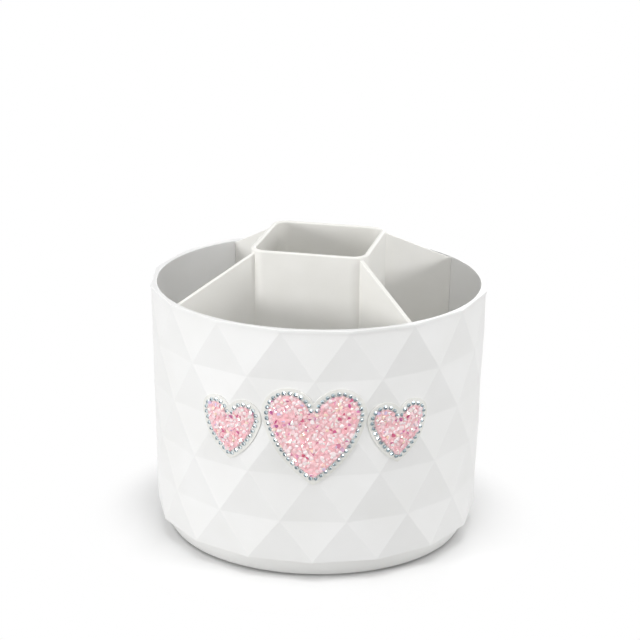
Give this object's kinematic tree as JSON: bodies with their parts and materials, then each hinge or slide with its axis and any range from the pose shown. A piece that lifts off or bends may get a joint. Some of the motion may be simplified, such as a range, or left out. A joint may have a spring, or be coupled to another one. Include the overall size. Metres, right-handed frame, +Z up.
{
  "type": "rotating pen holder",
  "caption": "Round white desk cup with a faceted wall, rising dividers round a taller centre well, and a ball-bearing foot on which the cup turns.",
  "frame": {"origin": "centre of the underside, on the desk surface that the feet stand on", "axes": "+Z up along the spindle; -Y towards the front, where the crystal hearts are at rest; +X to the right seen from the front"},
  "size_m": [0.139, 0.1397, 0.1247],
  "materials": {
    "white_shell": "satin moulded white polystyrene, flat facets",
    "white_insert": "satin moulded white polypropylene",
    "white_base": "satin moulded white polystyrene",
    "natural_acetal": "natural acetal, smooth as moulded",
    "bearing_steel": "polished steel balls",
    "zinc_steel": "zinc plated steel, bright",
    "foot_rubber": "matt grey rubber",
    "badge_film": "pale translucent adhesive film",
    "edge_stones": "foil backed faceted acrylic stones, silver",
    "pink_crystals": "crushed pink acrylic crystals with a pearl shimmer"
  },
  "bodies": {
    "base": {"base_dish": "white_base", "hub_bush": "natural_acetal", "lower_track": "natural_acetal", "lower_track_screws": "zinc_steel", "foot_1": "foot_rubber", "foot_2": "foot_rubber", "foot_3": "foot_rubber", "foot_4": "foot_rubber"},
    "cage": {"ball_cage": "natural_acetal", "bearing_balls": "bearing_steel"},
    "cup": {"outer_shell": "white_shell", "cup_floor": "white_insert", "centre_tower": "white_insert", "divider_1": "white_insert", "divider_2": "white_insert", "divider_3": "white_insert", "divider_4": "white_insert", "upper_track": "natural_acetal", "upper_track_screws": "zinc_steel", "tower_screws": "zinc_steel", "spindle": "zinc_steel", "retaining_washer": "zinc_steel", "retaining_screw": "zinc_steel", "heart_film_left": "badge_film", "heart_stones_left": "edge_stones", "heart_crystals_left": "pink_crystals", "heart_film_centre": "badge_film", "heart_stones_centre": "edge_stones", "heart_crystals_centre": "pink_crystals", "heart_film_right": "badge_film", "heart_stones_right": "edge_stones", "heart_crystals_right": "pink_crystals"}
  },
  "joints": [
    {"name": "cup_spin", "type": "hinge", "parent": "base", "child": "cup", "pos_m": [0, 0, 0.009], "axis": [0, 0, 1], "continuous": true},
    {"name": "cage_spin", "type": "hinge", "parent": "base", "child": "cage", "pos_m": [0, 0, 0.007], "axis": [0, 0, 1], "continuous": true}
  ],
  "couplings": [
    {"joint": "cage_spin", "follows": "cup_spin", "ratio": 0.5}
  ]
}
